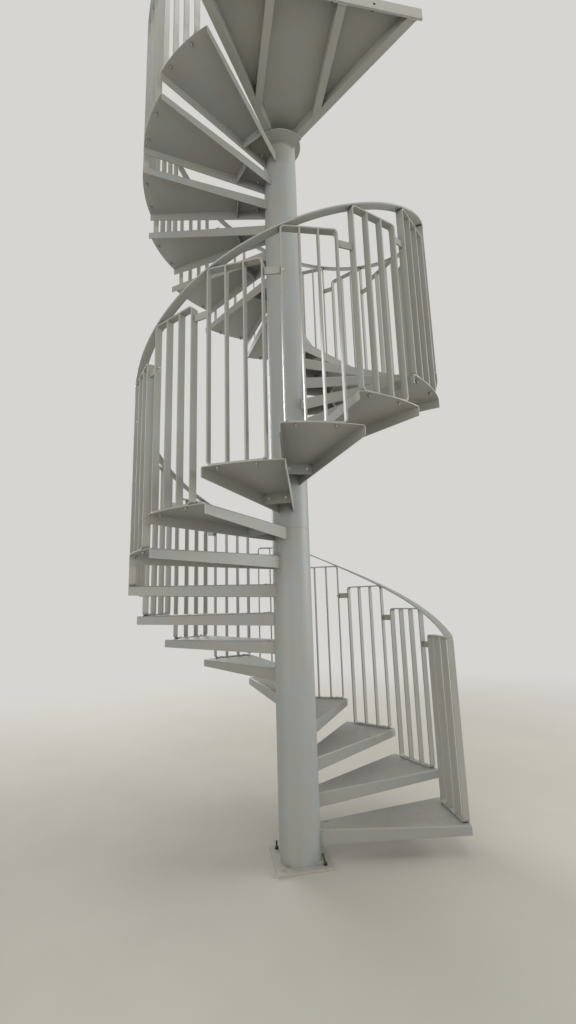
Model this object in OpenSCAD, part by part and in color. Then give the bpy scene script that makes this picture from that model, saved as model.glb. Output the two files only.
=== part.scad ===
// Spiral stair in painted steel: a round column on a base plate, pressed treads
// welded round it, one barred panel a tread and a helical flat handrail.
// Millimetres. The origin is the middle of the base plate's underside, +Z is up
// and the landing leaves the stair towards -Y.

/* [Stair] */
// risers from the floor to the landing
riser_count = 28; // [20:1:34]
// height of one riser
riser = 177; // [165:1:190]
// height of the first riser, which the floor's own layers make lower
first_riser = 168; // [150:1:190]
// treads in one full turn
treads_per_turn = 16; // [14:1:18]
// radius from the column's axis to the treads' rims
stair_r = 1000; // [900:10:1150]
// direction of the first tread's middle line
first_tread_angle = -1.2; // [-10:0.1:10]

/* [Column] */
// outside radius of the column
column_r = 122.25; // [100:0.25:140]
// wall of the column's tube
column_wall = 8; // [5:0.5:12]
// height of the seam where the two tubes of the column meet
column_seam_z = 1934; // [1500:1:2600]

/* [Base plate] */
// side of the square base plate
base_side = 320; // [300:5:400]
// thickness of the base plate
base_t = 15; // [12:1:30]
// distance between two neighbouring anchor holes
anchor_spacing = 240; // [225:1:280]
// radius of an anchor hole
anchor_hole_r = 7; // [5:0.5:13]

/* [Treads] */
// thickness of the pressed plate
tread_t = 5; // [4:0.5:8]
// how far a tread reaches under the next one at the rim
tread_overlap = 27; // [10:1:50]
// width of a tread where it meets the column
tread_inner_w = 100; // [80:1:130]
// depth of a tread's flanges at the column
flange_h_inner = 81; // [60:1:110]
// depth of a tread's flanges at the rim
flange_h_outer = 52; // [40:1:80]
// outside radius of the fold between plate and flange
fold_r = 9; // [6:0.5:14]
// distance from the axis to the cross rib under a tread
rib_x = 328; // [250:1:450]
// depth of the cross rib under the plate
rib_h = 62; // [40:1:90]
// size of the cut that clears the fold at each upper corner of the rib
rib_snip = 15; // [10:1:25]

/* [Balustrade] */
// height of a panel above its tread
panel_h = 1055; // [900:5:1150]
// gap between neighbouring panels, along the rim
panel_gap = 90; // [60:1:120]
// depth of the flat bars, measured towards the axis
bar_depth = 40; // [25:1:60]
// thickness of the flat bars
bar_t = 8; // [6:0.5:12]
// upright bars between the two legs of a panel
inner_bars = 2; // [1:1:4]
// outside radius of a panel's corners
panel_corner_r = 24; // [12:1:40]
// turn of a panel back from its tread's middle line
panel_turn = 1.77; // [0:0.01:4]
// depth of the plates that tie neighbouring panels
link_h = 40; // [25:1:60]
// thickness of these plates
link_t = 8; // [5:0.5:12]
// distance from a panel's top down to its plate
link_drop = 50; // [40:1:120]

/* [Handrail] */
// width of the flat handrail
rail_w = 50; // [35:1:70]
// thickness of the flat handrail
rail_t = 10; // [6:0.5:16]

/* [Landing] */
// distance from the axis to the landing's straight outer edge
landing_reach = 1000; // [900:10:1300]
// half the angle between the landing's two side members
landing_half_angle = 33; // [28:0.5:40]
// thickness of the landing's deck plate
deck_t = 6; // [4:0.5:10]
// how far the deck runs past the side members
deck_overhang = 20; // [0:1:40]
// width of the landing's hollow members
member_w = 50; // [40:1:80]
// depth of the landing's hollow members
member_h = 70; // [40:1:100]
// wall of the landing's hollow members
member_wall = 4; // [3:0.5:6]
// distance from the landing's middle line to the middle of a joist
joist_x = 208; // [160:1:260]
// radius of the seat plate that carries the landing on the column
seat_r = 220; // [180:1:280]
// thickness of the seat plate
seat_t = 10; // [8:1:20]
// radius of the deck's round end, which caps the column
hub_r = 165; // [150:1:180]
// thickness of the plate along the landing's outer edge
edge_t = 12; // [8:1:20]
// distance between the outer two floor bolts
edge_bolt_spacing = 800; // [400:10:1000]
// radius of a floor bolt's hole
edge_hole_r = 9; // [6:0.5:12]

/* [Hidden] */
$fn = 96;
// gap left for the weld between a piece and the one that carries it
weld_gap = 0.3;
// how far a shape is drawn past the cut that trims it
spare = 20;
// how far a cutting shape runs past the plate or tube that it cuts
over = 1;
// segments of a circle that rounds a panel's corner
corner_fn = 32;
tread_count = riser_count - 1;
step_angle = 360 / treads_per_turn;
total_h = level(riser_count);

// plan of a tread, with its middle line along +X
rim_half_angle = step_angle / 2 + asin(tread_overlap / 2 / stair_r);
rim_half_w = stair_r * sin(rim_half_angle);
rim_x = stair_r * cos(rim_half_angle);
inner_half_w = tread_inner_w / 2;
inner_x = sqrt(column_r * column_r - inner_half_w * inner_half_w);
side_angle = atan((rim_half_w - inner_half_w) / (rim_x - inner_x));
side_start = inner_half_w - inner_x * tan(side_angle);
fold_in_r = fold_r - tread_t;

// panel, seen from the axis
panel_w = 2 * stair_r * sin(step_angle / 2) - panel_gap;
panel_out = sqrt(stair_r * stair_r - panel_w * panel_w / 4);
panel_in = panel_out - bar_depth;
bar_pitch = (panel_w - bar_t) / (inner_bars + 1);
link_end = weld_gap + link_t / 2 * tan(step_angle / 2);

// handrail
rail_out_r = stair_r;
rail_in_r = rail_out_r - rail_w;
rail_slope = atan(riser / (2 * PI * panel_in * step_angle / 360));
touch_x = panel_w / 2 - panel_corner_r * (1 - sin(rail_slope));
touch_z = panel_h - panel_corner_r * (1 - cos(rail_slope)) + weld_gap;
touch_angle = atan(touch_x / panel_in);
rail_steps = 5;
rail_parts = 4;

// landing levels
deck_z = total_h - deck_t;
member_z = deck_z - member_h;
seat_z = member_z - seat_t;
// places of the floor bolts, counted in halves of the outer two's distance
edge_bolt_places = [-1, -0.375, 0.375, 1];

function level(k) = first_riser + (k - 1) * riser;
function tread_angle(k) = first_tread_angle + (k - 1) * step_angle;
function tread_name(k) = str("tread_", k < 10 ? "0" : "", k);
function rail_first(i) = 1 + floor((i - 1) * tread_count / rail_parts);
function rail_angle(k) = tread_angle(k) - panel_turn - touch_angle;

// Column

module base_plate() {
    color([0.66, 0.67, 0.64])
    difference() {
        translate([-base_side / 2, -base_side / 2, 0])
            cube([base_side, base_side, base_t]);
        for (sx = [-1, 1], sy = [-1, 1])
            translate([sx * anchor_spacing / 2, sy * anchor_spacing / 2, -over])
                cylinder(r = anchor_hole_r, h = base_t + 2 * over);
    }
}

module column_tube(z0, z1) {
    color([0.72, 0.73, 0.71])
    translate([0, 0, z0])
        difference() {
            cylinder(r = column_r, h = z1 - z0);
            translate([0, 0, -over])
                cylinder(r = column_r - column_wall, h = z1 - z0 + 2 * over);
        }
}

module column_lower() {
    column_tube(base_t, column_seam_z);
}

module column_upper() {
    column_tube(column_seam_z, deck_z);
}

// Treads

// section of one side: the flange hangs at x = 0, the plate runs to +x
module side_section() {
    translate([fold_r, -fold_r])
        intersection() {
            difference() {
                circle(r = fold_r);
                circle(r = fold_in_r);
            }
            translate([-fold_r, 0])
                square([fold_r, fold_r]);
        }
    translate([0, -flange_h_inner - spare])
        square([tread_t, flange_h_inner + spare - fold_r]);
    translate([fold_r, -tread_t])
        square([stair_r / 3, tread_t]);
}

// half of a tread, on the side of the tread below
module tread_half() {
    intersection() {
        translate([0, -side_start, 0])
            rotate([0, 0, -side_angle])
                rotate([90, 0, 90])
                    linear_extrude(height = stair_r + 2 * spare)
                        side_section();
        translate([0, -stair_r, -2 * flange_h_inner])
            cube([2 * stair_r, stair_r, 3 * flange_h_inner]);
    }
}

// plate across the tread, let into the middle of the flanges and of the plate,
// with its upper corners cut off to clear the folds
module tread_rib() {
    near = side_start + (rib_x - tread_t / 2) * tan(side_angle) - tread_t / 2;
    far = side_start + (rib_x + tread_t / 2) * tan(side_angle) - tread_t / 2;
    snip_y = near - tread_t / 2 - rib_snip;
    difference() {
        translate([0, 0, -tread_t - rib_h])
            linear_extrude(height = rib_h + tread_t / 2)
                polygon([
                    [rib_x - tread_t / 2, -near],
                    [rib_x + tread_t / 2, -far],
                    [rib_x + tread_t / 2, far],
                    [rib_x - tread_t / 2, near]
                ]);
        for (s = [0, 1])
            mirror([0, s, 0])
                translate([rib_x - tread_t, snip_y, -tread_t])
                    rotate([90, 0, 90])
                        linear_extrude(height = 2 * tread_t)
                            polygon([
                                [-spare / 2, spare / 2],
                                [3 * rib_snip, spare / 2],
                                [3 * rib_snip, -3 * rib_snip]
                            ]);
    }
}

// everything below the flanges' bottom edges, which rise towards the rim
module flange_cut() {
    rise = (flange_h_inner - flange_h_outer) / (rim_x - inner_x);
    far_x = stair_r + 3 * spare;
    translate([0, stair_r, 0])
        rotate([90, 0, 0])
            linear_extrude(height = 2 * stair_r)
                polygon([
                    [0, -flange_h_inner - inner_x * rise],
                    [far_x, -flange_h_inner + (far_x - inner_x) * rise],
                    [far_x, -3 * flange_h_inner],
                    [0, -3 * flange_h_inner]
                ]);
}

// one pressed tread with its top at z = 0
module tread_body() {
    difference() {
        intersection() {
            union() {
                tread_half();
                mirror([0, 1, 0])
                    tread_half();
                tread_rib();
            }
            translate([0, 0, -3 * flange_h_inner])
                cylinder(r = stair_r, h = 4 * flange_h_inner);
        }
        translate([0, 0, -3 * flange_h_inner])
            cylinder(r = column_r + weld_gap, h = 4 * flange_h_inner);
        flange_cut();
    }
}

module tread(k) {
    color([0.78, 0.79, 0.77])
    translate([0, 0, level(k)])
        rotate([0, 0, tread_angle(k)])
            tread_body();
}

// Balustrade

// a panel's hoop and bars, seen from the axis, standing on y = 0
module panel_outline() {
    difference() {
        rounded_block(panel_w, panel_h, panel_corner_r);
        translate([0, bar_t])
            rounded_block(panel_w - 2 * bar_t, panel_h - 2 * bar_t, panel_corner_r - bar_t);
    }
    for (i = [1:inner_bars])
        translate([-panel_w / 2 + i * bar_pitch, bar_t / 2])
            square([bar_t, panel_h - bar_t]);
}

module rounded_block(w, h, r) {
    translate([-w / 2, r])
        square([w, h - 2 * r]);
    translate([-w / 2 + r, 0])
        square([w - 2 * r, h]);
    for (sx = [-1, 1], y = [r, h - r])
        translate([sx * (w / 2 - r), y])
            circle(r = r, $fn = corner_fn);
}

module panel(k) {
    color([0.82, 0.82, 0.80])
    translate([0, 0, level(k)])
        rotate([0, 0, tread_angle(k) - panel_turn])
            translate([panel_in, 0, 0])
                rotate([90, 0, 90])
                    linear_extrude(height = bar_depth)
                        panel_outline();
}

module panel_group(i) {
    first = rail_first(i);
    last = rail_first(i + 1) - 1;
    for (k = [first:last])
        panel(k);
}

// corner of a panel's leg on the side of the next tread, in plan
function leg_point(k, side, depth) =
    let (a = tread_angle(k) - panel_turn, x = panel_in + depth, y = side * panel_w / 2)
    [x * cos(a) - y * sin(a), x * sin(a) + y * cos(a)];

// flat plate from one panel's uphill leg to the next panel's downhill leg
module panel_link(k) {
    low = leg_point(k, 1, bar_depth / 2);
    high = leg_point(k + 1, -1, bar_depth / 2);
    run = high - low;
    length = norm(run);
    color([0.75, 0.75, 0.73])
    translate([low[0], low[1], level(k) + panel_h - link_drop - link_h])
        rotate([0, 0, atan2(run[1], run[0])])
            translate([link_end, -link_t / 2, 0])
                cube([length - 2 * link_end, link_t, link_h]);
}

module panel_links() {
    for (k = [1:tread_count - 1])
        panel_link(k);
}

// Handrail

// corners of the handrail's section at one station along the helix
function rail_station(a, z) = [
    [rail_in_r * cos(a), rail_in_r * sin(a), z],
    [rail_out_r * cos(a), rail_out_r * sin(a), z],
    [rail_out_r * cos(a), rail_out_r * sin(a), z + rail_t],
    [rail_in_r * cos(a), rail_in_r * sin(a), z + rail_t]
];

// helical flat bar between two positions counted in treads
module rail_run(from, to) {
    n = ceil((to - from) * rail_steps);
    points = [for (i = [0:n]) each rail_station(
        rail_angle(from + (to - from) * i / n),
        level(from + (to - from) * i / n) + touch_z)];
    sides = [for (i = [0:n - 1], j = [0:3])
        let (a = 4 * i + j, b = 4 * i + (j + 1) % 4)
        each [[a, a + 4, b], [b, a + 4, b + 4]]];
    color([0.84, 0.84, 0.82])
    polyhedron(
        points = points,
        faces = concat([[0, 1, 2], [0, 2, 3]],
            sides,
            [[4 * n + 2, 4 * n + 1, 4 * n], [4 * n + 3, 4 * n + 2, 4 * n]]),
        convexity = 6
    );
}

module handrail(i) {
    last = tread_count + 2 * touch_angle / step_angle;
    start = rail_first(i);
    end = i == rail_parts ? last : rail_first(i + 1);
    rail_run(start, end);
}

// Landing

// plan of the ground between the two side members, grown sideways
module landing_wedge(grow, reach) {
    slope = tan(landing_half_angle);
    off = grow / cos(landing_half_angle);
    polygon([
        [0, off / slope],
        [-off - reach * slope, -reach],
        [off + reach * slope, -reach]
    ]);
}

module landing_seat() {
    color([0.70, 0.71, 0.69])
    translate([0, 0, seat_z])
        linear_extrude(height = seat_t)
            difference() {
                intersection() {
                    circle(r = seat_r);
                    landing_wedge(member_w / 2, landing_reach);
                }
                circle(r = column_r + weld_gap);
            }
}

module hollow_section() {
    difference() {
        square([member_w, member_h], center = true);
        square([member_w - 2 * member_wall, member_h - 2 * member_wall], center = true);
    }
}

module landing_sides() {
    color([0.74, 0.75, 0.72])
    for (s = [-1, 1])
        intersection() {
            difference() {
                rotate([0, 0, 270 + s * landing_half_angle])
                    translate([0, 0, member_z + member_h / 2])
                        rotate([90, 0, 90])
                            linear_extrude(height = landing_reach * 2)
                                hollow_section();
                translate([0, 0, member_z - over])
                    cylinder(r = column_r + weld_gap, h = member_h + 2 * over);
            }
            translate([s > 0 ? 0 : -2 * landing_reach, -landing_reach + edge_t + weld_gap, member_z - over])
                cube([2 * landing_reach, 2 * landing_reach, member_h + 2 * over]);
        }
}

module landing_joists() {
    color([0.74, 0.75, 0.72])
    for (s = [-1, 1])
        intersection() {
            translate([s * joist_x, 0, member_z + member_h / 2])
                rotate([90, 0, 0])
                    linear_extrude(height = landing_reach - edge_t - weld_gap)
                        hollow_section();
            translate([0, 0, member_z - over])
                linear_extrude(height = member_h + 2 * over)
                    landing_wedge(-member_w / 2 - weld_gap, landing_reach);
        }
}

module landing_edge() {
    half = landing_reach * tan(landing_half_angle)
        + (member_w / 2 + deck_overhang) / cos(landing_half_angle);
    color([0.72, 0.73, 0.70])
    translate([0, -landing_reach + edge_t, member_z])
        rotate([90, 0, 0])
            linear_extrude(height = edge_t)
                difference() {
                    translate([-half, 0])
                        square([2 * half, member_h]);
                    for (place = edge_bolt_places)
                        translate([place * edge_bolt_spacing / 2, member_h / 2])
                            circle(r = edge_hole_r);
                }
}

module landing_deck() {
    color([0.77, 0.78, 0.76])
    translate([0, 0, deck_z])
        linear_extrude(height = deck_t)
            union() {
                intersection() {
                    landing_wedge(member_w / 2 + deck_overhang, landing_reach);
                    translate([-2 * landing_reach, -landing_reach])
                        square([4 * landing_reach, landing_reach]);
                }
                circle(r = hub_r);
            }
}

base_plate();
column_lower();
column_upper();
for (k = [1:tread_count]) {
    tread(k);
}
panel_group(1);  // panels_1
panel_group(2);  // panels_2
panel_group(3);  // panels_3
panel_group(4);  // panels_4
panel_links();
handrail(1);  // handrail_1
handrail(2);  // handrail_2
handrail(3);  // handrail_3
handrail(4);  // handrail_4
landing_seat();
landing_sides();
landing_joists();
landing_edge();
landing_deck();
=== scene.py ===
"""Looks of the spiral stair: painted steel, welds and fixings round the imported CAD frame."""

import math
import random
from typing import NamedTuple

import bpy
from mathutils import Matrix, Vector


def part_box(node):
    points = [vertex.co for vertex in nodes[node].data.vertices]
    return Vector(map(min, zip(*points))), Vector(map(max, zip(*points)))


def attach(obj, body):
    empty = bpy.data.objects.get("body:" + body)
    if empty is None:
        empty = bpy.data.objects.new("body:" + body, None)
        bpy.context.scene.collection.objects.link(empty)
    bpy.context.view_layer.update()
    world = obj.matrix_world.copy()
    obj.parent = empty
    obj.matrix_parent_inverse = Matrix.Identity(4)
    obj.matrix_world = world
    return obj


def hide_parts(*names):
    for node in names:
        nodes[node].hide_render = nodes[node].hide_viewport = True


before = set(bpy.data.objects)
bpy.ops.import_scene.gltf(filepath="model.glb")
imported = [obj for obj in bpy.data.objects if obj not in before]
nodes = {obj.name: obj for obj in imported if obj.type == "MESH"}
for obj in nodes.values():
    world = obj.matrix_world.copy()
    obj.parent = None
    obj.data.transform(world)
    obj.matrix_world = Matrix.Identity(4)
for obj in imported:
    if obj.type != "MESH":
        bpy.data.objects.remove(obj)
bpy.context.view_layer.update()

# Driving sizes of the stair, in metres and degrees

RISER = 0.177
FIRST_RISER = 0.168
TREADS = 27
STEP = 22.5
FIRST_TREAD = -1.2
STAIR_R = 1.0
COLUMN_R = 0.12225
ANCHOR_SPACING = 0.240
TREAD_T = 0.005
TREAD_OVERLAP = 0.027
INNER_HALF_W = 0.050
FLANGE_INNER = 0.081
FOLD_R = 0.009
RIB_X = 0.328
RIB_H = 0.062
RIB_SNIP = 0.015
PANEL_H = 1.055
PANEL_GAP = 0.090
PANEL_TURN = 1.77
CORNER_R = 0.024
BAR_T = 0.008
BAR_DEPTH = 0.040
INNER_BARS = 2
LINK_DROP = 0.050
LINK_H = 0.040
RAIL_W = 0.050
RAIL_T = 0.010
WELD_GAP = 0.0003
LANDING_HALF_ANGLE = 33.0
MEMBER_W = 0.050
JOIST_X = 0.208

# Heights and places that the frame gives

BASE_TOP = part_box("base_plate")[1].z
SEAM_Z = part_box("column_lower")[1].z
SEAT_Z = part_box("landing_seat")[0].z
MEMBER_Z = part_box("landing_sides")[0].z
DECK_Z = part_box("landing_deck")[0].z
EDGE_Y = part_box("landing_edge")[1].y

# Sizes of a tread, worked out as in the solids

RIM_HALF_ANGLE = math.radians(STEP / 2) + math.asin(TREAD_OVERLAP / 2 / STAIR_R)
RIM_HALF_W = STAIR_R * math.sin(RIM_HALF_ANGLE)
RIM_X = STAIR_R * math.cos(RIM_HALF_ANGLE)
INNER_X = math.sqrt(COLUMN_R**2 - INNER_HALF_W**2)
SIDE_SLOPE = (RIM_HALF_W - INNER_HALF_W) / (RIM_X - INNER_X)
SIDE_START = INNER_HALF_W - INNER_X * SIDE_SLOPE
RIB_FACE = RIB_X + TREAD_T / 2
RIB_END = SIDE_START + RIB_FACE * SIDE_SLOPE - TREAD_T / math.cos(math.atan(SIDE_SLOPE))
RIB_LOW = -TREAD_T - RIB_H

# Sizes of a panel, and where the handrail touches its corner

PANEL_W = 2 * STAIR_R * math.sin(math.radians(STEP / 2)) - PANEL_GAP
PANEL_OUT = math.sqrt(STAIR_R**2 - PANEL_W**2 / 4)
PANEL_IN = PANEL_OUT - BAR_DEPTH
BAR_PITCH = (PANEL_W - BAR_T) / (INNER_BARS + 1)
RAIL_SLOPE = math.atan(RISER / (2 * math.pi * PANEL_IN * STEP / 360))
TOUCH_X = PANEL_W / 2 - CORNER_R * (1 - math.sin(RAIL_SLOPE))
TOUCH_Z = PANEL_H - CORNER_R * (1 - math.cos(RAIL_SLOPE)) + WELD_GAP
TOUCH = math.degrees(math.atan(TOUCH_X / PANEL_IN))


def level(k):
    return FIRST_RISER + (k - 1) * RISER


def tread_angle(k):
    return FIRST_TREAD + (k - 1) * STEP


def polar(r, degrees, z):
    a = math.radians(degrees)
    return Vector((r * math.cos(a), r * math.sin(a), z))


def arc(r, z, start=0, stop=360, step=2):
    """Points round the axis at whole degrees, from a start to just before a stop."""
    return [polar(r, a, z) for a in range(start, stop, step)]


def turned_frame(k, degrees):
    """Frame at the height of a tread, turned round the axis."""
    return Matrix.Translation((0, 0, level(k))) @ Matrix.Rotation(math.radians(degrees), 4, "Z")


def tread_frame(k):
    """A tread's own frame, with its middle line along +X and its top at 0."""
    return turned_frame(k, tread_angle(k))


def panel_frame(k):
    """A panel's own frame, with its face across +X and its foot at 0."""
    return turned_frame(k, tread_angle(k) - PANEL_TURN)


def facing(point, axis):
    """A frame at a point with its Z along an axis."""
    return Matrix.Translation(point) @ Vector(axis).to_track_quat("Z", "Y").to_matrix().to_4x4()


# Sizes of the fixings and the weld beads, in metres


class Nut(NamedTuple):
    """Nut or bolt head: its width across flats, its height and its washer."""

    flats: float
    height: float
    washer_r: float
    washer_t: float


class Thread(NamedTuple):
    """Threaded end of a bolt, which starts this high over the face under its washer."""

    radius: float
    low: float
    pitch: float
    sides: int = 14


class Anchor(NamedTuple):
    """Anchor in a corner of the base plate: the height of its tip, its lean and its finish."""

    side_x: int
    side_y: int
    tip: float
    lean: float
    painted: bool = False


class Bead(NamedTuple):
    """Weld bead: how far its middle stands off the metal, and how its width changes, as shares."""

    radius: float
    lift: float = 0.0
    pitch: float = 0.004
    sides: int = 8
    ripple: float = 0.10
    wobble: float = 0.07


ANCHOR_NUT = Nut(flats=0.0185, height=0.0105, washer_r=0.012, washer_t=0.0025)
RIB_NUT = Nut(flats=0.013, height=0.0055, washer_r=0.0085, washer_t=0.0016)
INNER_NUT = Nut(flats=0.016, height=0.009, washer_r=0.010, washer_t=0.002)
PANEL_NUT = Nut(flats=0.016, height=0.008, washer_r=0.010, washer_t=0.002)
LINK_NUT = Nut(flats=0.013, height=0.0065, washer_r=0.0085, washer_t=0.0016)
EDGE_NUT = Nut(flats=0.024, height=0.013, washer_r=0.015, washer_t=0.003)

ANCHOR_THREAD = Thread(radius=0.006, low=0.008, pitch=0.00175)
INNER_THREAD = Thread(radius=0.005, low=0.010, pitch=0.0015)
PANEL_THREAD = Thread(radius=0.005, low=0.009, pitch=0.0015)
LINK_THREAD = Thread(radius=0.004, low=0.008, pitch=0.00125, sides=12)
EDGE_THREAD = Thread(radius=0.008, low=0.015, pitch=0.002, sides=16)

# height of each kind of bolt's tip over the same face, and how far it varies under a tread
INNER_TIP = 0.027
PANEL_TIP = 0.021
LINK_TIP = 0.0115
EDGE_TIP = 0.022
LENGTH_SPREAD = 0.003

ANCHORS = (
    Anchor(side_x=-1, side_y=1, tip=0.044, lean=1.0),
    Anchor(side_x=1, side_y=1, tip=0.041, lean=0.5),
    Anchor(side_x=1, side_y=-1, tip=0.060, lean=-13.0),
    Anchor(side_x=-1, side_y=-1, tip=0.0165, lean=0.0, painted=True),
)
# level axis that an anchor leans about, roughly the photo's line of sight
LEAN_AXIS = Vector((0.18, -0.98, 0))

INNER_BOLT_X = 0.172
INNER_BOLT_Y = 0.040
INNER_HEAD_R = 0.0092
INNER_HEAD_RISE = 0.0030
RIB_BOLT_Y = 0.053
RIB_BOLT_Z = -0.033
PANEL_HEAD_R = 0.0098
PANEL_HEAD_RISE = 0.0042
EDGE_BOLTS_X = (-0.40, -0.15, 0.15, 0.40)

BASE_BEAD = Bead(0.0042, lift=0.0010, pitch=0.0046, sides=10)
SEAM_BEAD = Bead(0.0026, lift=-0.0016, pitch=0.006, sides=10, ripple=0.03, wobble=0.06)
TREAD_BEAD = Bead(0.0042, lift=0.0008, pitch=0.0044)
RIB_BEAD = Bead(0.0028, sides=6)
PANEL_BEAD = Bead(0.0026, pitch=0.0046, sides=6)
RAIL_BEAD = Bead(0.0022, lift=0.0002, pitch=0.0044)
EDGE_BEAD = Bead(0.0036, lift=0.0008, pitch=0.005)
COLLAR_BEAD = Bead(0.0046, lift=0.0010, pitch=0.005)
STITCH_BEAD = Bead(0.0034, lift=0.0004, pitch=0.005)

# how far a bead stays from the ends of the line that it welds
TREAD_WELD_END = 0.002
RIB_TOP_WELD_END = 0.002
RIB_SIDE_WELD_END = 0.003
PANEL_WELD_END = 0.001
RAIL_WELD_END = 0.002
# angle of each of the handrail's beads from the line where it touches the corner, in radians
RAIL_WELD_TURN = 0.19
# how far a bead round the column under the landing hangs below the plate
COLLAR_DROP = 0.0006
# short beads under the deck, along each side member
STITCHES = 5
STITCH_FIRST = 0.25
STITCH_STEP = 0.17
STITCH_LENGTH = 0.05

# Details of the meshes

# a nut's flat crown as a share of its half width, and its chamfer
CROWN = 0.95
CHAMFER_SLOPE = math.tan(math.radians(30))
# bevels at the foot of a nut or head, and round both faces of a washer
FOOT_BEVEL = 0.0003
WASHER_BEVEL = 0.0004
# inner edge of a top face as a share of its radius, where the thread or the head covers it
TOP_INNER = 0.6
# upright edge under a low head's dome, and the angles of the dome's rings in radians
HEAD_COLLAR = 0.0010
DOME_ANGLES = (0.0, 0.3, 0.6, 0.9, 1.2, 1.45)
# a thread's depth and the places of its crest and its root, as shares of the pitch
THREAD_DEPTH = 0.3
THREAD_CREST = 0.35
THREAD_ROOT = 0.75
# length over which a bead's width changes, its slow wave and its taper at an end
SWELL_LENGTH = 0.03
SWELL_WAVE = 0.03
END_TAPER = 0.6
# radius of the flat handrail's edges, steps round each of them and stations along the helix
RAIL_EDGE_R = 0.0016
RAIL_EDGE_STEPS = 3
RAIL_STATIONS = 420


def spaced(path, gap, closed):
    """Points about a gap apart along a path, and how far along it each of them lies."""
    spots = [path[0]]
    travelled = [0.0]
    for a, b in zip(path, path[1:] + (path[:1] if closed else [])):
        length = (b - a).length
        steps = max(1, round(length / gap))
        for i in range(1, steps + 1):
            spots.append(a.lerp(b, i / steps))
            travelled.append(travelled[-1] + length / steps)
    return spots, travelled


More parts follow.
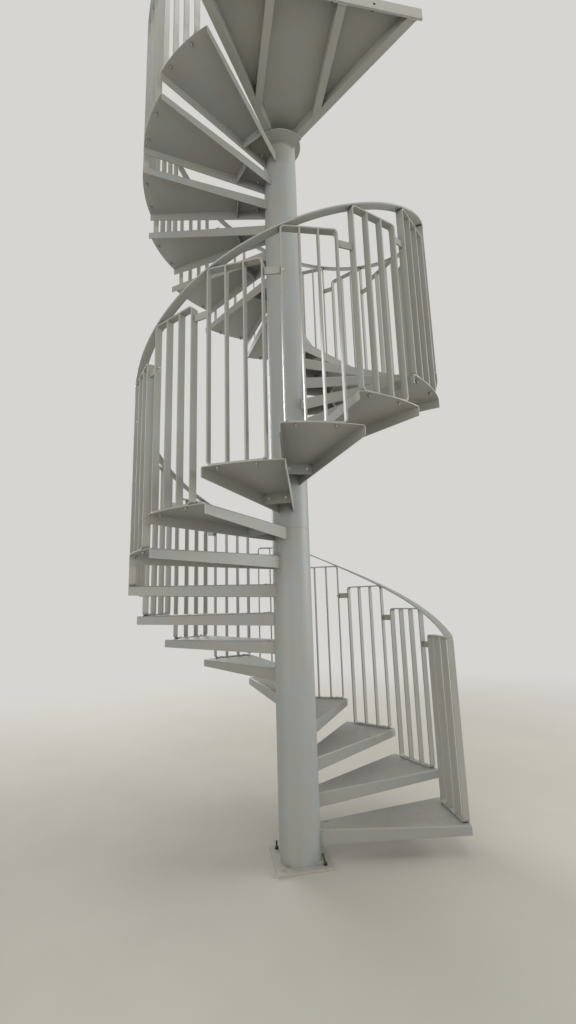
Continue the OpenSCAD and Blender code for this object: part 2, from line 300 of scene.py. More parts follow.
class Shape:
    """Points and faces of one piece of the scene."""

    def __init__(self):
        self.points = []
        self.faces = []

    def band(self, low, high, count, shift=0):
        """Faces between two rings of points, the first of them turned by a shift."""
        for j in range(count):
            k = (j + 1) % count
            corners = (low + (j + shift) % count, low + (k + shift) % count, high + k, high + j)
            self.faces.append(corners)

    def skin(self, rings, closed=False):
        """Skins rings of equal length, with a cap at each end or back to the first ring."""
        count = len(rings[0])
        starts = [len(self.points) + i * count for i in range(len(rings))]
        for ring in rings:
            self.points.extend(ring)
        for low, high in zip(starts, starts[1:]):
            self.band(low, high, count)
        if closed:
            # the rings turn a little on their way round, so the last one is turned to meet the first
            shift = min(range(count), key=lambda s: (rings[-1][s] - rings[0][0]).length)
            self.band(starts[-1], starts[0], count, shift)
        else:
            self.faces.append(tuple(starts[0] + j for j in reversed(range(count))))
            self.faces.append(tuple(starts[-1] + j for j in range(count)))

    def turned(self, place, profile, sides=24, spin=0.0):
        """Rings of (radius, height) round the Z of a frame; each may be a function of the angle."""
        rings = []
        for radius, height in profile:
            ring = []
            for j in range(sides):
                a = 2 * math.pi * j / sides
                r = radius(a) if callable(radius) else radius
                z = height(a) if callable(height) else height
                ring.append(place @ Vector((r * math.cos(a + spin), r * math.sin(a + spin), z)))
            rings.append(ring)
        self.skin(rings)

    def hexagon(self, place, flats, low, high, spin):
        """Hexagon between two heights, with its chamfer cut as a cone."""
        apothem = flats / 2
        crown = apothem * CROWN

        def corner(a):
            return apothem / math.cos((a % (math.pi / 3)) - math.pi / 6)

        profile = [
            (lambda a: corner(a) - FOOT_BEVEL, low),
            (corner, low + FOOT_BEVEL),
            (corner, lambda a: high - (corner(a) - crown) * CHAMFER_SLOPE),
            (crown, high),
            (crown * TOP_INNER, high),
        ]
        self.turned(place, profile, spin=spin)

    def washer(self, place, radius, thickness):
        profile = [
            (radius - WASHER_BEVEL, 0.0),
            (radius, WASHER_BEVEL),
            (radius, thickness - WASHER_BEVEL),
            (radius - WASHER_BEVEL, thickness),
            (radius * TOP_INNER, thickness),
        ]
        self.turned(place, profile)

    def nut(self, place, size, rng):
        """Nut or bolt head on its washer, turned at random."""
        self.washer(place, size.washer_r, size.washer_t)
        self.hexagon(place, size.flats, size.washer_t, size.washer_t + size.height, rng.uniform(0, 1))

    def thread(self, place, size, high):
        """Threaded end of a bolt up to this height, with a chamfered tip."""
        depth = size.pitch * THREAD_DEPTH
        profile = [(size.radius, size.low)]
        z = size.low
        while z + size.pitch < high - depth:
            profile.append((size.radius, z + size.pitch * THREAD_CREST))
            profile.append((size.radius - depth, z + size.pitch * THREAD_ROOT))
            z += size.pitch
        profile.append((size.radius, high - depth))
        profile.append((size.radius - depth, high))
        self.turned(place, profile, size.sides)

    def low_head(self, place, radius, rise):
        """Low domed head of a bolt."""
        profile = [(radius - FOOT_BEVEL, 0.0), (radius, HEAD_COLLAR / 2)]
        for t in DOME_ANGLES:
            profile.append((radius * math.cos(t), HEAD_COLLAR + rise * math.sin(t)))
        self.turned(place, profile, sides=20)

    def bead(self, path, size, rng, closed=False):
        """Weld bead along a path of points: ripples at its pitch, and slow changes of its width."""
        spots, travelled = spaced(path, size.pitch / 2, closed)
        phase = rng.random() * math.tau
        swells = int(travelled[-1] / SWELL_LENGTH) + 3
        slow = [rng.uniform(-size.wobble, size.wobble) for _ in range(swells)]
        if closed:
            spots.pop()
        count = len(spots)
        turns = [2 * math.pi * j / size.sides for j in range(size.sides)]
        rings = []
        up = None
        for i, spot in enumerate(spots):
            if closed:
                ahead = spots[(i + 1) % count] - spots[i - 1]
            else:
                ahead = spots[min(i + 1, count - 1)] - spots[max(i - 1, 0)]
            ahead.normalize()
            if up is None:
                up = ahead.orthogonal().normalized()
            up = (up - ahead * up.dot(ahead)).normalized()
            side = ahead.cross(up)
            s = travelled[i] / SWELL_LENGTH
            low = int(s)
            swell = slow[low] + (slow[low + 1] - slow[low]) * (s - low)
            ripple = size.ripple if i % 2 else -size.ripple
            r = size.radius * (1 + swell + ripple + SWELL_WAVE * math.sin(phase + s))
            if not closed and i in (0, count - 1):
                r *= END_TAPER
            rings.append([spot + (up * math.cos(t) + side * math.sin(t)) * r for t in turns])
        self.skin(rings, closed)

    def finish(self, name, material, angle, replaces=()):
        """Makes the piece, smooth but for edges sharper than an angle in degrees."""
        mesh = bpy.data.meshes.new(name)
        mesh.from_pydata([tuple(p) for p in self.points], [], self.faces)
        mesh.validate()
        mesh.polygons.foreach_set("use_smooth", [True] * len(mesh.polygons))
        mesh.set_sharp_from_angle(angle=math.radians(angle))
        mesh.update()
        piece = bpy.data.objects.new(name, mesh)
        bpy.context.scene.collection.objects.link(piece)
        piece.data.materials.append(material)
        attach(piece, "root")
        if replaces:
            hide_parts(*replaces)


# Angles in degrees between faces beyond which an edge is sharp

SHARP_NUT = 30
SHARP_HEAD = 40
SHARP_RAIL = 40
SHARP_WELD = 60

# Materials


class Nodes:
    """Small helper that adds shader nodes and joins them."""

    def __init__(self, owner, output="ShaderNodeOutputMaterial"):
        owner.use_nodes = True
        self.tree = owner.node_tree
        self.tree.nodes.clear()
        self.out = self.tree.nodes.new(output)

    def put(self, socket, value):
        if isinstance(value, bpy.types.NodeSocket):
            self.tree.links.new(value, socket)
        else:
            socket.default_value = value

    def show(self, shader):
        self.tree.links.new(shader, self.out.inputs["Surface"])

    def place(self):
        return self.tree.nodes.new("ShaderNodeTexCoord").outputs["Object"]

    def math(self, op, a, b=0.0, c=None, clamp=False):
        node = self.tree.nodes.new("ShaderNodeMath")
        node.operation = op
        node.use_clamp = clamp
        self.put(node.inputs[0], a)
        self.put(node.inputs[1], b)
        if c is not None:
            self.put(node.inputs[2], c)
        return node.outputs[0]

    def times(self, a, b):
        return self.math("MULTIPLY", a, b)

    def swing(self, noise, width, middle=0.0):
        """A noise of 0 to 1, spread to this width about a middle."""
        return self.math("MULTIPLY_ADD", noise, width, middle - width / 2)

    def noise(self, scale, detail=3.0, rough=0.5, stretch=None, distortion=0.0):
        node = self.tree.nodes.new("ShaderNodeTexNoise")
        node.inputs["Scale"].default_value = scale
        node.inputs["Detail"].default_value = detail
        node.inputs["Roughness"].default_value = rough
        node.inputs["Distortion"].default_value = distortion
        where = self.place()
        if stretch:
            mapping = self.tree.nodes.new("ShaderNodeMapping")
            self.put(mapping.inputs["Vector"], where)
            mapping.inputs["Scale"].default_value = stretch
            where = mapping.outputs[0]
        self.put(node.inputs["Vector"], where)
        return node.outputs[0]

    def ramp(self, value, low, high, to_low=0.0, to_high=1.0):
        node = self.tree.nodes.new("ShaderNodeMapRange")
        node.interpolation_type = "SMOOTHSTEP"
        self.put(node.inputs["Value"], value)
        node.inputs["From Min"].default_value = low
        node.inputs["From Max"].default_value = high
        node.inputs["To Min"].default_value = to_low
        node.inputs["To Max"].default_value = to_high
        return node.outputs[0]

    def mix(self, factor, a, b, blend="MIX"):
        node = self.tree.nodes.new("ShaderNodeMix")
        node.data_type = "RGBA"
        node.blend_type = blend
        self.put(node.inputs["Factor"], factor)
        for socket, value in ((node.inputs[6], a), (node.inputs[7], b)):
            self.put(socket, (*value, 1.0) if isinstance(value, tuple) else value)
        return node.outputs[2]

    def grey(self, value):
        node = self.tree.nodes.new("ShaderNodeCombineColor")
        for socket in node.inputs:
            self.put(socket, value)
        return node.outputs[0]

    def parts(self, vector):
        node = self.tree.nodes.new("ShaderNodeSeparateXYZ")
        self.put(node.inputs[0], vector)
        return node.outputs

    def normal(self):
        return self.tree.nodes.new("ShaderNodeNewGeometry").outputs["Normal"]

    def axis_distance(self):
        x, y, _ = self.parts(self.place())
        return self.math("SQRT", self.math("ADD", self.times(x, x), self.times(y, y)))

    def bevel(self, radius, samples=4):
        node = self.tree.nodes.new("ShaderNodeBevel")
        node.samples = samples
        node.inputs["Radius"].default_value = radius
        return node.outputs[0]

    def edges(self, bevel):
        """1 on an edge, 0 on a face: how far the rounded normal leans from the true one."""
        dot = self.tree.nodes.new("ShaderNodeVectorMath")
        dot.operation = "DOT_PRODUCT"
        self.put(dot.inputs[0], self.normal())
        self.put(dot.inputs[1], bevel)
        lean = self.math("SUBTRACT", 1.0, dot.outputs["Value"])
        return self.ramp(lean, low=0.01, high=0.12)

    def crevice(self, distance, samples=6):
        """1 deep in a corner, 0 in the open."""
        node = self.tree.nodes.new("ShaderNodeAmbientOcclusion")
        node.samples = samples
        node.inputs["Distance"].default_value = distance
        return self.math("SUBTRACT", 1.0, node.outputs["AO"], clamp=True)

    def bump(self, height, strength, distance, normal=None):
        node = self.tree.nodes.new("ShaderNodeBump")
        node.inputs["Strength"].default_value = strength
        node.inputs["Distance"].default_value = distance
        self.put(node.inputs["Height"], height)
        if normal is not None:
            self.put(node.inputs["Normal"], normal)
        return node.outputs[0]

    def surface(self, color, roughness, normal, metallic=0.0, specular=0.5):
        node = self.tree.nodes.new("ShaderNodeBsdfPrincipled")
        self.put(node.inputs["Base Color"], color)
        self.put(node.inputs["Roughness"], roughness)
        node.inputs["Metallic"].default_value = metallic
        node.inputs["Specular IOR Level"].default_value = specular
        self.put(node.inputs["Normal"], normal)
        return node.outputs[0]

    def lit(self, kind, color, strength):
        """Emission or background of one plain colour."""
        node = self.tree.nodes.new(kind)
        node.inputs["Color"].default_value = (*color, 1.0)
        node.inputs["Strength"].default_value = strength
        return node.outputs[0]

    def blend(self, factor, a, b):
        node = self.tree.nodes.new("ShaderNodeMixShader")
        for socket, value in zip(node.inputs, (factor, a, b)):
            self.put(socket, value)
        return node.outputs[0]


# colours of dust, wear, rust, dirt and painted shade, linear
DUST = (0.47, 0.455, 0.42)
TRODDEN = (0.235, 0.228, 0.21)
SCRATCH = (0.16, 0.155, 0.145)
DIRT_AND_SHADE = (0.13, 0.12, 0.10)
CHIP = (0.115, 0.085, 0.062)
RUST = (0.135, 0.052, 0.021)
GRIME_AND_SHADE = (0.05, 0.045, 0.04)
# tints of the coat's patches
WARM = (1.03, 1.0, 0.95)
COOL = (0.97, 1.0, 1.025)
# widths of the changes in a coat's tone, from the broad one to the fine one
BROAD_TONE = 0.16
PATCH_TONE = 0.10
FINE_TONE = 0.05
# widths of the changes of roughness, and what full dust or rust adds to it
PAINT_ROUGH = 0.16
STEEL_ROUGH = 0.22
DULL = 0.35
# most that each kind of wear, painted edge highlight and painted shade covers, and how much paler a
# painted edge highlight is
EDGE_HIGHLIGHT_SHARE = 0.35
CHIP_SHARE = 0.7
SCRATCH_SHARE = 0.6
GRIME_AND_SHADE_SHARE = 0.6
EDGE_HIGHLIGHT_PALE = 1.35
# least dust between the patches, as a share of the most
THIN_DUST = 0.35


def srgb(*levels):
    """Linear colour from levels of 0 to 255."""
    return tuple(((c / 255 + 0.055) / 1.055) ** 2.4 if c > 10 else c / 255 / 12.92 for c in levels)


def tinted(color, tint):
    return tuple(min(1.0, c * t) for c, t in zip(color, tint))


def scaled(color, factor):
    return tinted(color, (factor,) * 3)


def coat(n, base, patch, fine, streaks):
    """Uneven sprayed coat: broad, patchy and fine changes of tone, and streaks down the piece."""
    broad = n.noise(scale=0.8, detail=3.0, rough=0.55, distortion=0.6)
    tone = n.swing(broad, BROAD_TONE, middle=1.0)
    tone = n.math("ADD", tone, n.swing(patch, PATCH_TONE))
    tone = n.math("ADD", tone, n.swing(fine, FINE_TONE))
    if streaks:
        run = n.noise(scale=1.0, detail=5.0, rough=0.6, stretch=(26.0, 26.0, 1.1))
        tone = n.math("ADD", tone, n.swing(run, streaks))
    color = n.mix(n.ramp(patch, low=0.35, high=0.65), tinted(base, WARM), tinted(base, COOL))
    return n.mix(1.0, color, n.grey(tone), "MULTIPLY")


def walked_on(n, color, up, worn):
    """Paint trodden grey on what faces up, between the column and the rim, with fine scratches."""
    away = n.axis_distance()
    band = n.times(n.ramp(away, low=0.34, high=0.55), n.ramp(away, low=0.95, high=0.80))
    patches = n.ramp(n.noise(scale=13.0, detail=6.0, rough=0.7), low=0.44, high=0.68)
    walked = n.times(n.times(band, up), patches)
    color = n.mix(n.times(walked, worn), color, TRODDEN)
    scratch = n.noise(scale=1.0, detail=3.0, rough=0.6, stretch=(310.0, 34.0, 34.0), distortion=1.2)
    thin = n.times(n.ramp(scratch, low=0.66, high=0.72), n.times(walked, SCRATCH_SHARE))
    return n.mix(thin, color, SCRATCH)


def chipped(n, edge):
    """1 where the paint has chipped off: on edges, and in a few spots of the faces."""
    on_edge = n.times(edge, n.ramp(n.noise(scale=61.0, detail=4.0, rough=0.6), low=0.69, high=0.73))
    on_face = n.ramp(n.noise(scale=130.0, detail=2.0, rough=0.4), low=0.815, high=0.83)
    return n.math("ADD", on_edge, on_face, clamp=True)


def relief(n, rounded, chips, waves):
    """Orange peel, specks, waves of the plate and the pits of the chips, one over the other."""
    peel = n.bump(n.noise(scale=1400.0, detail=2.0), strength=0.10, distance=0.0002, normal=rounded)
    speck = n.bump(n.noise(scale=420.0, detail=2.0), strength=0.16, distance=0.0005, normal=peel)
    broad = n.noise(scale=4.2, detail=2.0, rough=0.4)
    wave = n.bump(broad, strength=waves, distance=0.010, normal=speck)
    return n.bump(n.math("SUBTRACT", 1.0, chips), strength=0.5, distance=0.0002, normal=wave)


def painted(name, base, rough, dust, waves, streaks=0.0, worn=0.0):
    """Sprayed steel paint: uneven coat, dust on what faces up, dirt and painted shade in the corners,
    painted highlight on edges.
    """
    material = bpy.data.materials.new(name)
    n = Nodes(material)
    patch = n.noise(scale=7.0, detail=5.0, rough=0.62)
    fine = n.noise(scale=95.0, detail=4.0, rough=0.6)
    color = coat(n, base, patch, fine, streaks)
    up = n.ramp(n.parts(n.normal())[2], low=0.6, high=0.98)
    thick = n.ramp(patch, low=0.30, high=0.75, to_low=dust * THIN_DUST, to_high=dust)
    settled = n.times(up, thick)
    color = n.mix(settled, color, DUST)
    roughness = n.math("ADD", rough, n.swing(patch, PAINT_ROUGH))
    roughness = n.math("ADD", roughness, n.times(settled, DULL))
    if worn:
        color = walked_on(n, color, up, worn)
    # painted shade: the paint is darkened in corners by occlusion, broken up with noise as dirt
    corners = n.ramp(n.crevice(distance=0.030), low=0.25, high=0.95)
    dirt_and_shade = n.times(corners, n.ramp(fine, low=0.2, high=0.7, to_low=0.35, to_high=0.8))
    color = n.mix(dirt_and_shade, color, DIRT_AND_SHADE)
    rounded = n.bevel(radius=0.0011)
    edge = n.edges(rounded)
    # painted highlight: edges paler than the paint in noisy patches, standing in for light caught on
    # the edges
    edge_highlight = n.times(edge, n.ramp(n.noise(scale=33.0, detail=5.0, rough=0.65), low=0.42, high=0.62))
    color = n.mix(n.times(edge_highlight, EDGE_HIGHLIGHT_SHARE), color, scaled(base, EDGE_HIGHLIGHT_PALE))
    chips = chipped(n, edge)
    color = n.mix(n.times(chips, CHIP_SHARE), color, CHIP)
    n.show(n.surface(color, roughness, relief(n, rounded, chips, waves)))
    return material


def steel(name, base, rough, rust, metallic=1.0):
    """Bare or plated bolt metal, blotched, with rust in spots and grime with painted shade in the
    corners.
    """
    material = bpy.data.materials.new(name)
    n = Nodes(material)
    blotch = n.noise(scale=150.0, detail=5.0, rough=0.65)
    color = n.mix(n.ramp(blotch, low=0.3, high=0.7), scaled(base, 0.82), scaled(base, 1.12))
    spots = n.ramp(n.noise(scale=90.0, detail=6.0, rough=0.7), low=0.52, high=0.66, to_high=rust)
    color = n.mix(spots, color, RUST)
    # painted shade: the metal is darkened towards black in corners by occlusion, as grime and shade
    # together
    grime_and_shade = n.times(n.ramp(n.crevice(distance=0.006), low=0.2, high=0.9), GRIME_AND_SHADE_SHARE)
    color = n.mix(grime_and_shade, color, GRIME_AND_SHADE)
    roughness = n.math("ADD", n.swing(blotch, STEEL_ROUGH, middle=rough), n.times(spots, DULL))
    grain = n.noise(scale=1100.0, detail=3.0, rough=0.6)
    normal = n.bump(grain, strength=0.22, distance=0.0002, normal=n.bevel(radius=0.0004))
    n.show(n.surface(color, roughness, normal, metallic))
    return material


column_paint = painted("column_paint", srgb(154, 156, 153), 0.46, dust=0.2, waves=0.25, streaks=0.10)
plate_paint = painted("base_plate_paint", srgb(166, 165, 156), 0.48, dust=0.55, waves=0.3)
tread_paint = painted("tread_paint", srgb(151, 151, 146), 0.42, dust=0.35, waves=0.45, worn=0.28)
panel_paint = painted("balustrade_paint", srgb(156, 156, 150), 0.38, dust=0.25, waves=0.2, streaks=0.06)
link_paint = painted("link_paint", srgb(153, 153, 146), 0.42, dust=0.3, waves=0.2)
rail_paint = painted("handrail_paint", srgb(158, 159, 155), 0.33, dust=0.15, waves=0.2)
landing_paint = painted("landing_paint", srgb(154, 154, 147), 0.42, dust=0.3, waves=0.4, worn=0.26)
weld_paint = painted("weld_paint", srgb(151, 152, 146), 0.40, dust=0.2, waves=0.2)
dark_steel = steel("dark_steel", (0.085, 0.080, 0.072), 0.52, rust=0.55, metallic=0.8)
zinc = steel("zinc_steel", (0.62, 0.62, 0.60), 0.34, rust=0.10)
dull_zinc = steel("dull_zinc_steel", (0.34, 0.34, 0.32), 0.50, rust=0.12, metallic=0.7)

# Materials on the frame's own nodes, by the start of their names

PAINTS = {
    "base_plate": plate_paint,
    "column": column_paint,
    "tread": tread_paint,
    "panel_links": link_paint,
    "panels": panel_paint,
    "handrail": rail_paint,
    "landing": landing_paint,
}
for node_name, node in nodes.items():
    paint = next(paint for start, paint in PAINTS.items() if node_name.startswith(start))
    node.data.materials.clear()
    node.data.materials.append(paint)

# Anchors of the base plate

rng = random.Random(41)
anchor_nuts = Shape()
low_anchor = Shape()
for anchor in ANCHORS:
    shape = low_anchor if anchor.painted else anchor_nuts
    corner = (anchor.side_x * ANCHOR_SPACING / 2, anchor.side_y * ANCHOR_SPACING / 2, BASE_TOP)
    place = facing(corner, (0, 0, 1))
    shape.nut(place, ANCHOR_NUT, rng)
    lean = Matrix.Rotation(math.radians(anchor.lean), 4, LEAN_AXIS)
    shape.thread(place @ lean, ANCHOR_THREAD, anchor.tip)
anchor_nuts.finish("anchor_nuts", dark_steel, SHARP_NUT)
low_anchor.finish("anchor_nut_low", plate_paint, SHARP_NUT)

# Welds of the column: round its foot, and the seam between its two tubes

rng = random.Random(7)
base_weld = Shape()
base_weld.bead(arc(COLUMN_R + BASE_BEAD.lift, BASE_TOP + BASE_BEAD.lift), BASE_BEAD, rng, closed=True)
base_weld.finish("base_weld", weld_paint, SHARP_WELD)

seam_weld = Shape()
seam_weld.bead(arc(COLUMN_R + SEAM_BEAD.lift, SEAM_Z), SEAM_BEAD, rng, closed=True)
seam_weld.finish("column_seam_weld", weld_paint, SHARP_WELD)

# Welds between the treads and the column


def tread_end_path():
    """Line where a tread's outside meets the column: up a flange, over fold and plate, and down."""
    flange_steps, fold_steps, plate_steps = 8, 4, 4
    low = -FLANGE_INNER + TREAD_WELD_END
    half = []
    for i in range(flange_steps + 1):
        half.append((INNER_HALF_W, low + (-FOLD_R - low) * i / flange_steps))
    for i in range(1, fold_steps + 1):
        a = math.pi / 2 * i / fold_steps
        half.append((INNER_HALF_W - FOLD_R * (1 - math.cos(a)), -FOLD_R * (1 - math.sin(a))))
    for i in range(1, plate_steps + 1):
        half.append(((INNER_HALF_W - FOLD_R) * (1 - i / plate_steps), 0.0))
    whole = half + [(-y, z) for y, z in reversed(half[:-1])]
    r = COLUMN_R + TREAD_BEAD.lift
    return [Vector((math.sqrt(r * r - y * y), y, z)) for y, z in whole]


rng = random.Random(19)
tread_welds = Shape()
for k in range(1, TREADS + 1):
    place = tread_frame(k)
    tread_welds.bead([place @ p for p in tread_end_path()], TREAD_BEAD, rng)
tread_welds.finish("tread_welds", weld_paint, SHARP_WELD)

# Welds and bolts of the treads' cross ribs, and the bolts near the column and under the panels

rib_bolts = Shape()
rib_welds = Shape()
inner_bolts = Shape()
inner_heads = Shape()
panel_bolts = Shape()
panel_heads = Shape()


def weld_rib_top(place, rng):
    reach = RIB_END - RIB_SNIP - RIB_TOP_WELD_END
    rib_welds.bead([place @ Vector((RIB_FACE, y, -TREAD_T)) for y in (-reach, reach)], RIB_BEAD, rng)


def weld_rib_side(place, side, rng):
    high = -TREAD_T - RIB_SNIP - RIB_SIDE_WELD_END
    low = RIB_LOW + RIB_SIDE_WELD_END
    rib_welds.bead([place @ Vector((RIB_FACE, side * RIB_END, z)) for z in (high, low)], RIB_BEAD, rng)


def bolt_rib(place, side, rng):
    rib_bolts.nut(place @ facing((RIB_FACE, side * RIB_BOLT_Y, RIB_BOLT_Z), (1, 0, 0)), RIB_NUT, rng)


def bolt_near_column(place, side, rng):
    under = place @ facing((INNER_BOLT_X, side * INNER_BOLT_Y, -TREAD_T), (0, 0, -1))
    inner_bolts.nut(under, INNER_NUT, rng)
    inner_bolts.thread(under, INNER_THREAD, INNER_TIP + rng.uniform(-LENGTH_SPREAD, LENGTH_SPREAD))
    over = place @ facing((INNER_BOLT_X, side * INNER_BOLT_Y, 0), (0, 0, 1))
    inner_heads.low_head(over, INNER_HEAD_R, INNER_HEAD_RISE)


def bolt_panel(place, side, rng):
    middle = PANEL_IN + BAR_DEPTH / 2
    under = place @ facing((middle, side * BAR_PITCH, -TREAD_T), (0, 0, -1))
    panel_bolts.nut(under, PANEL_NUT, rng)
    panel_bolts.thread(under, PANEL_THREAD, PANEL_TIP + rng.uniform(-LENGTH_SPREAD, LENGTH_SPREAD))
    over = place @ facing((middle, side * BAR_PITCH, BAR_T), (0, 0, 1))
    panel_heads.low_head(over, PANEL_HEAD_R, PANEL_HEAD_RISE)


rng = random.Random(23)
for k in range(1, TREADS + 1):
    weld_rib_top(tread_frame(k), rng)
    for side in (-1, 1):
        weld_rib_side(tread_frame(k), side, rng)
        bolt_rib(tread_frame(k), side, rng)
        bolt_near_column(tread_frame(k), side, rng)
        bolt_panel(panel_frame(k), side, rng)
rib_bolts.finish("rib_bolts", zinc, SHARP_NUT)
inner_bolts.finish("inner_bolts", zinc, SHARP_NUT)
inner_heads.finish("inner_bolt_heads", tread_paint, SHARP_HEAD)
rib_welds.finish("rib_welds", weld_paint, SHARP_WELD)
panel_bolts.finish("panel_bolts", dull_zinc, SHARP_NUT)
panel_heads.finish("panel_bolt_heads", panel_paint, SHARP_HEAD)

# Nuts that hold the plates between neighbouring panels, on the inside of the next panel's leg

rng = random.Random(29)
link_bolts = Shape()
link_middle = PANEL_H - LINK_DROP - LINK_H / 2
for k in range(2, TREADS + 1):
    point = (PANEL_IN + BAR_DEPTH / 2, -PANEL_W / 2 + BAR_T, link_middle - RISER)
    place = panel_frame(k) @ facing(point, (0, 1, 0))
    link_bolts.nut(place, LINK_NUT, rng)
    link_bolts.thread(place, LINK_THREAD, LINK_TIP)
link_bolts.finish("link_bolts", zinc, SHARP_NUT)

# Welds of the bars in the panels, and of the panels on the handrail


def across_bar(place, y, z, end):
    """Ends of a line across a flat bar's depth, that much short of its edges."""
    return [place @ Vector((PANEL_IN + d, y, z)) for d in (end, BAR_DEPTH - end)]


rng = random.Random(31)
panel_welds = Shape()
for k in range(1, TREADS + 1):
    for i in range(1, INNER_BARS + 1):
        bar_y = -PANEL_W / 2 + i * BAR_PITCH
        for y in (bar_y, bar_y + BAR_T):
            for z in (BAR_T, PANEL_H - BAR_T):
                panel_welds.bead(across_bar(panel_frame(k), y, z, PANEL_WELD_END), PANEL_BEAD, rng)
panel_welds.finish("panel_welds", weld_paint, SHARP_WELD)

rail_welds = Shape()
for k in range(1, TREADS + 1):
    for turn in (-RAIL_WELD_TURN, RAIL_WELD_TURN):
        a = RAIL_SLOPE + turn
        y = CORNER_R - PANEL_W / 2 - CORNER_R * math.sin(a)
        z = PANEL_H - CORNER_R + CORNER_R * math.cos(a) + RAIL_BEAD.lift
        rail_welds.bead(across_bar(panel_frame(k), y, z, RAIL_WELD_END), RAIL_BEAD, rng)
rail_welds.finish("rail_welds", weld_paint, SHARP_WELD)

# Handrail, one smooth flat bar in place of the frame's short straight runs


def rail_section():
    """Rounded outline of the flat bar, as (inwards from the outside radius, height)."""
    r = RAIL_EDGE_R
    corners = [(r, r, 180), (RAIL_W - r, r, 270), (RAIL_W - r, RAIL_T - r, 0), (r, RAIL_T - r, 90)]
    points = []
    for x, z, start in corners:
        for i in range(RAIL_EDGE_STEPS + 1):
            a = math.radians(start + 90 * i / RAIL_EDGE_STEPS)
            points.append((x + r * math.cos(a), z + r * math.sin(a)))
    return points


def rail_ring(s):
    """The section at a place along the helix that is counted in treads."""
    a = tread_angle(s) - PANEL_TURN - TOUCH
    return [polar(STAIR_R - d, a, level(s) + TOUCH_Z + h) for d, h in rail_section()]


rail_length = TREADS - 1 + 2 * TOUCH / STEP
handrail = Shape()
handrail.skin([rail_ring(1 + rail_length * i / RAIL_STATIONS) for i in range(RAIL_STATIONS + 1)])
handrail.finish("handrail_bar", rail_paint, SHARP_RAIL,
                ["handrail_1", "handrail_2", "handrail_3", "handrail_4"])

# Bolts along the landing's outer edge

rng = random.Random(37)
edge_bolts = Shape()
for x in EDGE_BOLTS_X:
    place = facing((x, EDGE_Y, (MEMBER_Z + DECK_Z) / 2), (0, 1, 0))
    edge_bolts.nut(place, EDGE_NUT, rng)
    edge_bolts.thread(place, EDGE_THREAD, EDGE_TIP)
edge_bolts.finish("edge_bolts", dark_steel, SHARP_NUT)

# Welds of the landing: members on the edge plate, seat and deck on the column, deck on its members

landing_welds = Shape()
half_angle = math.radians(LANDING_HALF_ANGLE)
for side in (-1, 1):
    side_member = (-side * EDGE_Y * math.tan(half_angle), MEMBER_W / 2 / math.cos(half_angle))
    joist = (side * JOIST_X, MEMBER_W / 2)
    for middle, half in (side_member, joist):
        left = middle - half
        right = middle + half
        y = EDGE_Y + EDGE_BEAD.lift
        outline = [(left, DECK_Z), (left, MEMBER_Z), (right, MEMBER_Z), (right, DECK_Z)]
        landing_welds.bead([Vector((x, y, z)) for x, z in outline], EDGE_BEAD, rng)

collar_r = COLUMN_R + COLLAR_BEAD.lift
seat_reach = LANDING_HALF_ANGLE + math.degrees(math.asin(MEMBER_W / 2 / COLUMN_R))
seat_arc = arc(collar_r, SEAT_Z - COLLAR_DROP, math.ceil(270 - seat_reach), math.ceil(270 + seat_reach))
landing_welds.bead(seat_arc, COLLAR_BEAD, rng)
landing_welds.bead(arc(collar_r, DECK_Z - COLLAR_DROP, step=3), COLLAR_BEAD, rng, closed=True)

for side in (-1, 1):
    along = polar(1, 270 + side * LANDING_HALF_ANGLE, 0)
    across = Vector((-along.y, along.x, 0))
    for edge in (-MEMBER_W / 2, MEMBER_W / 2):
        line = across * edge + Vector((0, 0, DECK_Z - STITCH_BEAD.lift))
        for i in range(STITCHES):
            start = STITCH_FIRST + i * STITCH_STEP
            ends = [along * d + line for d in (start, start + STITCH_LENGTH)]
            landing_welds.bead(ends, STITCH_BEAD, rng)
landing_welds.finish("landing_welds", weld_paint, SHARP_WELD)

# Floor, which fades into the backdrop's colour away from the stair

PALE = srgb(214, 213, 209)
FLOOR_DARK = srgb(191, 188, 179)
FLOOR_LIGHT = srgb(198, 195, 186)
FLOOR_REACH = 30.0
FLOOR_CELLS = 24
FADE_START = 2.2
FADE_END = 8.0


def floor_mesh():
    """Flat square grid round the origin."""
    mesh = bpy.data.meshes.new("floor")
    row = FLOOR_CELLS + 1
    steps = [-FLOOR_REACH + 2 * FLOOR_REACH * i / FLOOR_CELLS for i in range(row)]
    points = [(x, y, 0.0) for y in steps for x in steps]
    faces = []
    for j in range(FLOOR_CELLS):
        for i in range(FLOOR_CELLS):
            a = j * row + i
            faces.append((a, a + 1, a + row + 1, a + row))
    mesh.from_pydata(points, [], faces)
    mesh.update()
    return mesh


def floor_material():
    material = bpy.data.materials.new("floor_plain")
    n = Nodes(material)
    tone = n.ramp(n.noise(scale=0.9, detail=4.0, rough=0.6), low=0.2, high=0.8)
    color = n.mix(tone, FLOOR_DARK, FLOOR_LIGHT)
    roughness = n.swing(n.noise(scale=5.0, detail=4.0), width=0.15, middle=0.725)
    grain = n.bump(n.noise(scale=60.0, detail=3.0), strength=0.1, distance=0.001)
    surface = n.surface(color, roughness, grain, specular=0.25)
    glow = n.lit("ShaderNodeEmission", PALE, strength=1.0)
    n.show(n.blend(n.ramp(n.axis_distance(), FADE_START, FADE_END), surface, glow))
    return material


floor = bpy.data.objects.new("floor", floor_mesh())
bpy.context.scene.collection.objects.link(floor)
floor.data.materials.append(floor_material())

# World: soft warm light, and the pale backdrop for camera, glossy and transmission rays

ROOM_LIGHT = (1.0, 0.965, 0.91)
ROOM_STRENGTH = 0.37


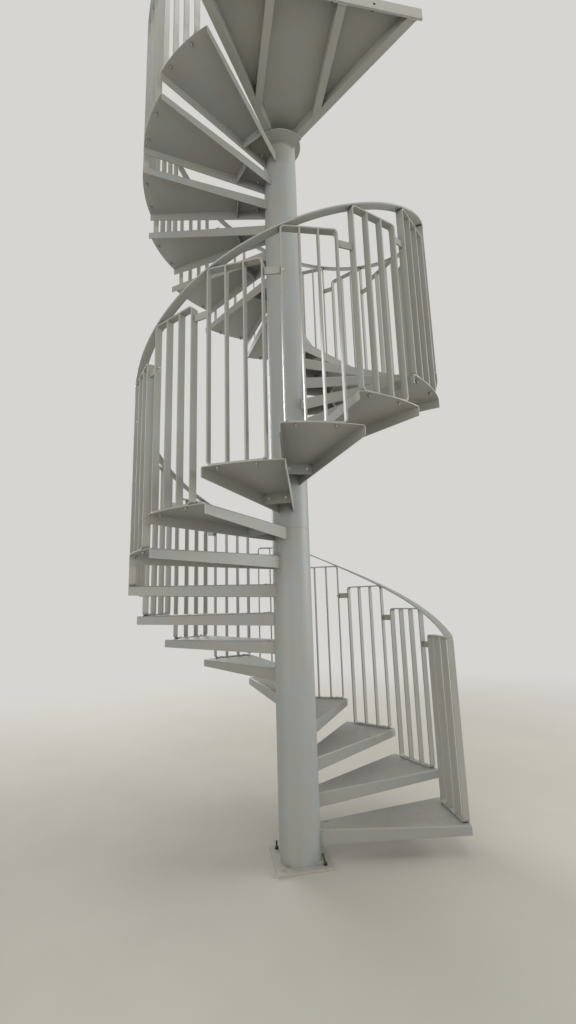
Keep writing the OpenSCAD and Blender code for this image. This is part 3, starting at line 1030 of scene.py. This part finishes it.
def make_world():
    world = bpy.data.worlds.new("studio")
    bpy.context.scene.world = world
    n = Nodes(world, "ShaderNodeOutputWorld")
    rays = n.tree.nodes.new("ShaderNodeLightPath").outputs
    seen = rays["Is Camera Ray"]
    for kind in ("Is Glossy Ray", "Is Transmission Ray"):
        seen = n.math("MAXIMUM", seen, rays[kind])
    room = n.lit("ShaderNodeBackground", ROOM_LIGHT, ROOM_STRENGTH)
    backdrop = n.lit("ShaderNodeBackground", PALE, strength=1.0)
    n.show(n.blend(seen, room, backdrop))


make_world()

# Lamps, square and aimed at a height on the column's axis

DAYLIGHT = (0.97, 0.985, 1.0)
SOFT_COOL = (0.985, 0.985, 1.0)
SOFT_WARM = (1.0, 0.99, 0.97)


def lamp(name, place, aim_z, size, power, color):
    data = bpy.data.lights.new(name, "AREA")
    data.shape = "SQUARE"
    data.size = size
    data.energy = power
    data.color = color
    aim = Vector((0, 0, aim_z)) - Vector(place)
    holder = bpy.data.objects.new(name, data)
    holder.location = place
    holder.rotation_euler = aim.to_track_quat("-Z", "Y").to_euler()
    bpy.context.scene.collection.objects.link(holder)


lamp("window_right", (9.3, -1.2, 4.0), aim_z=2.4, size=5.4, power=500, color=DAYLIGHT)
lamp("soft_left", (-7.5, -6.9, 3.0), aim_z=2.6, size=5.6, power=280, color=SOFT_WARM)
lamp("soft_front", (0.6, -11.0, 2.6), aim_z=2.4, size=5.0, power=230, color=SOFT_COOL)
lamp("window_back", (-3.0, 9.0, 5.6), aim_z=2.6, size=5.2, power=430, color=DAYLIGHT)
lamp("soft_top", (0.6, -1.2, 10.5), aim_z=3.0, size=5.0, power=200, color=SOFT_WARM)

# Camera, fitted to the photo: its place in metres and its angles in degrees

CAMERA_PLACE = (-0.583481, -2.982292, 1.476408)
CAMERA_HEADING = 79.1744
CAMERA_TILT = 10.8049
CAMERA_ROLL = -1.6787
SENSOR_WIDTH = 36.0
FOCAL_LENGTH = 16.3806

camera_data = bpy.data.cameras.new("camera")
camera_data.sensor_width = SENSOR_WIDTH
camera_data.lens = FOCAL_LENGTH
camera_data.clip_start = 0.05
camera_data.clip_end = 200.0
camera = bpy.data.objects.new("camera", camera_data)
camera.matrix_world = (
    Matrix.Translation(CAMERA_PLACE)
    @ Matrix.Rotation(math.radians(CAMERA_HEADING - 90), 4, "Z")
    @ Matrix.Rotation(math.radians(CAMERA_TILT + 90), 4, "X")
    @ Matrix.Rotation(math.radians(CAMERA_ROLL), 4, "Z")
)
bpy.context.scene.collection.objects.link(camera)
bpy.context.scene.camera = camera
bpy.context.scene.view_settings.view_transform = "Standard"
